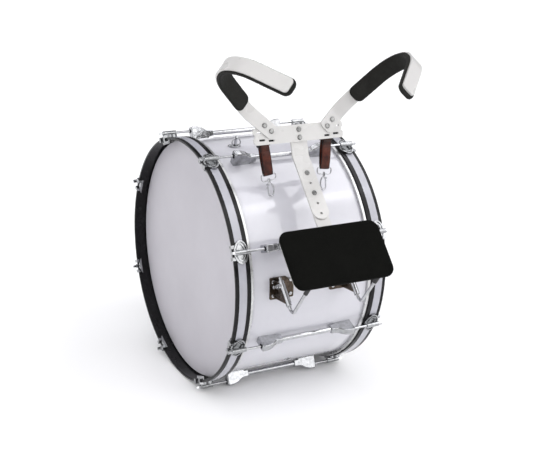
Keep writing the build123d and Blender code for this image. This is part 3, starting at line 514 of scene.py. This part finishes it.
def leather_strap(side):
    """One strap with its sewn-down end on the front, burnished black edges and stitches."""
    top = Vector(JOINTS[f"{side}_strap_swing"]["pos_m"])
    low = Vector(JOINTS[f"{side}_strap_loop_swing"]["pos_m"])
    down = (low - top).normalized()
    across = Vector(JOINTS[f"{side}_strap_swing"]["axis"]).normalized()
    front = across.cross(down).normalized()
    if front.y > 0:
        front = -front
    length = (low - top).length / MM
    line = strap_centre_line(length)
    centres = [top + front * (f * MM) - down * (h * MM) for f, h in line]
    normals = []
    for index in range(len(line)):
        before, after = line[index - 1], line[(index + 1) % len(line)]
        tangent = Vector((after[0] - before[0], after[1] - before[1])).normalized()
        normals.append((front * -tangent.y - down * tangent.x).normalized())
    front_run = FOLD_STEPS
    back_run = front_run + RUN_STEPS + FOLD_STEPS
    middle = sum(centres, Vector()) / len(centres)
    probe = front_run + RUN_STEPS // 3
    if (centres[probe] - middle).dot(normals[probe]) < 0:
        normals = [-n for n in normals]
    for start in (front_run, back_run):
        for index in range(start + STEADY, start + RUN_STEPS - 1):
            wave = noise.noise(centres[index] * RIPPLE_WAVES) * RIPPLE * MM
            centres[index] = centres[index] + normals[index] * wave
    bm = bmesh.new()
    sweep_flat(bm, centres, normals, across, STRAP_WIDTH / 2, LEATHER_THICK, True, CROWN)
    flap_end = int(FLAP_LENGTH / (length / RUN_STEPS)) + front_run + 1
    flap_centres, flap_normals = [], []
    for index in range(front_run - FLAP_EARLY, flap_end):
        skived = min(1.0, (flap_end - 1 - index) / 4 + 0.5)     # sinks towards the flap's end
        lift = (LEATHER_THICK / 2 + FLAP_LIFT * skived) * MM
        flap_centres.append(centres[index] + normals[index] * lift)
        flap_normals.append(normals[index])
    sweep_flat(bm, flap_centres, flap_normals, across, STRAP_WIDTH / 2 - FLAP_INSET, FLAP_THICK,
               False, FLAP_CROWN)
    bmesh.ops.recalc_face_normals(bm, faces=bm.faces)
    mesh = bpy.data.meshes.new(f"{side}_leather")
    bm.to_mesh(mesh)
    bm.free()
    piece = new_piece(f"{side}_leather_strap", mesh, f"{side}_strap", "brown_leather",
                      LEATHER, LEATHER_EDGE)
    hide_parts(f"{side}_strap")

    stitch_mesh = bpy.data.meshes.new(f"{side}_stitches")
    bm = bmesh.new()
    for row in FLAP_ROWS:
        for step in range(STITCHES_ACROSS):
            offset = (step - (STITCHES_ACROSS - 1) / 2) * STITCH_PITCH * MM
            place = flap_centres[row] + across * offset + flap_normals[row] * (FLAP_STITCH_LIFT * MM)
            stitch(bm, place, across, flap_normals[row], FLAP_STITCH)
    for index in range(front_run + SEAM_START, front_run + RUN_STEPS - 1):
        along = (centres[index + 1] - centres[index]).normalized()
        lift = SEAM_LIFT if index > flap_end - 2 else SEAM_LIFT_ON_FLAP
        for edge in (-1, 1):
            for share in (0.0, 0.5):
                place = centres[index].lerp(centres[index + 1], share)
                place = place + across * (edge * SEAM_OFFSET * MM) + normals[index] * (lift * MM)
                stitch(bm, place, along, normals[index], SEAM_STITCH)
    bm.to_mesh(stitch_mesh)
    bm.free()
    new_piece(f"{side}_strap_stitches", stitch_mesh, f"{side}_strap", "brown_leather", THREAD)


for side in SIDES:
    leather_strap(side)

# ------------------------------------------------------------------ floor
FLOOR_HALF = 30.0
floor_corners = [(-1, -1), (1, -1), (1, 1), (-1, 1)]
floor_mesh = bpy.data.meshes.new("floor")
floor_mesh.from_pydata([(x * FLOOR_HALF, y * FLOOR_HALF, 0) for x, y in floor_corners], [],
                       [(0, 1, 2, 3)])
floor = bpy.data.objects.new("studio_floor", floor_mesh)
bpy.context.collection.objects.link(floor)
floor_shader = Shader("pale floor")
floor_shader.colour(floor_shader.mix(floor_shader.noise(0.8, 2.0), (0.90, 0.90, 0.90), (0.93, 0.93, 0.93)))
floor_shader.set(Roughness=0.9, Specular_IOR_Level=0.1, Emission_Strength=0.07,
                 Emission_Color=(1, 1, 1, 1))
floor_mesh.materials.append(floor_shader.material)

# ------------------------------------------------------------------ light
# Each stop is a place along the ramp and its grey level.  The heights start at the horizon with a
# pale strip, then come a dark gap, a bright wall, a dimmer ceiling and a bright panel overhead.
HEIGHT_STOPS = [(0.0, 1.3), (0.05, 1.3), (0.085, 0.02), (0.165, 0.02), (0.25, 1.0), (0.5, 1.0),
                (0.59, 0.16), (0.70, 0.16), (0.78, 3.2), (0.88, 3.2), (0.95, 0.7)]
# From the left to the right, with two dark gaps between bright walls.
SIDE_STOPS = [(0.0, 1.0), (0.20, 1.0), (0.28, 0.04), (0.38, 0.9), (0.60, 1.0), (0.66, 0.04),
              (0.70, 0.1), (0.74, 1.0)]
WORLD_STRENGTH = 0.9
SIDE_SHARE = 0.95               # how strongly the side gaps darken the walls
COOLNESS = 1.015                # blue is this many times as strong as red and green

world = bpy.data.worlds.new("studio")
world.use_nodes = True
bpy.context.scene.world = world
tree = world.node_tree


def studio_ramp(value, stops):
    """Grey levels along one direction of the studio: dark gaps between bright soft panels."""
    ramp = tree.nodes.new("ShaderNodeValToRGB")
    tree.links.new(value, ramp.inputs["Fac"])
    ramp.color_ramp.interpolation = "EASE"
    while len(ramp.color_ramp.elements) < len(stops):
        ramp.color_ramp.elements.new(0.5)
    for element, (position, level) in zip(ramp.color_ramp.elements, stops):
        element.position = position
        element.color = (level, level, level * COOLNESS, 1)
    return ramp.outputs["Color"]


def centred(value):
    """Brings a direction's -1 to 1 into a ramp's 0 to 1."""
    made = tree.nodes.new("ShaderNodeMapRange")
    made.inputs["From Min"].default_value = -1.0
    tree.links.new(value, made.inputs["Value"])
    return made.outputs["Result"]


def soft_sun(name, direction, strength, spread):
    """Even soft light that shines along a direction; the spread is in degrees."""
    light = bpy.data.lights.new(name, "SUN")
    light.energy = strength
    light.angle = math.radians(spread)
    holder = bpy.data.objects.new(name, light)
    bpy.context.collection.objects.link(holder)
    holder.rotation_euler = Vector(direction).to_track_quat("-Z", "Y").to_euler()


around = tree.nodes.new("ShaderNodeTexCoord")
split = tree.nodes.new("ShaderNodeSeparateXYZ")
tree.links.new(around.outputs["Generated"], split.inputs["Vector"])
panels = tree.nodes.new("ShaderNodeMix")
panels.data_type = "RGBA"
panels.blend_type = "MULTIPLY"
panels.inputs["Factor"].default_value = SIDE_SHARE
walls, gaps = colour_sockets(panels.inputs)
tree.links.new(studio_ramp(split.outputs["Z"], HEIGHT_STOPS), walls)
tree.links.new(studio_ramp(centred(split.outputs["X"]), SIDE_STOPS), gaps)
background = tree.nodes["Background"]
tree.links.new(colour_sockets(panels.outputs)[0], background.inputs["Color"])
background.inputs["Strength"].default_value = WORLD_STRENGTH

soft_sun("overhead", (0.15, 0.25, -1.0), 0.35, 70)
soft_sun("front_right", (-0.75, 0.95, -0.75), 1.05, 50)
soft_sun("left", (1.0, 0.25, -0.55), 0.55, 60)

# ------------------------------------------------------------------ camera
# Millimetres for the lens and the sensor, metres for the distances.
LENS = 74.95
SENSOR_WIDTH = 36.0
CLIP_END = 100.0
CAMERA_FROM_DRUM = Vector((-1.3433, -2.5045, 1.0584))
CAMERA_RIGHT = Vector((0.87801, -0.47692, 0.04065))
CAMERA_UP = Vector((0.12304, 0.30694, 0.94375))
CAMERA_BACK = Vector((-0.46257, -0.82361, 0.32818))

head_corners = np.array(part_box("left_head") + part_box("right_head")).reshape(-1, 3)
drum_centre = Vector((head_corners.min(0) + head_corners.max(0)) / 2)
camera_data = bpy.data.cameras.new("camera")
camera_data.sensor_width = SENSOR_WIDTH
camera_data.lens = LENS
camera_data.clip_end = CLIP_END
camera = bpy.data.objects.new("camera", camera_data)
bpy.context.collection.objects.link(camera)
pose = Matrix((CAMERA_RIGHT, CAMERA_UP, CAMERA_BACK)).transposed().to_4x4()
pose.translation = drum_centre + CAMERA_FROM_DRUM
camera.matrix_world = pose
bpy.context.scene.camera = camera
bpy.context.scene.view_settings.view_transform = "Standard"
bpy.context.scene.view_settings.look = "None"
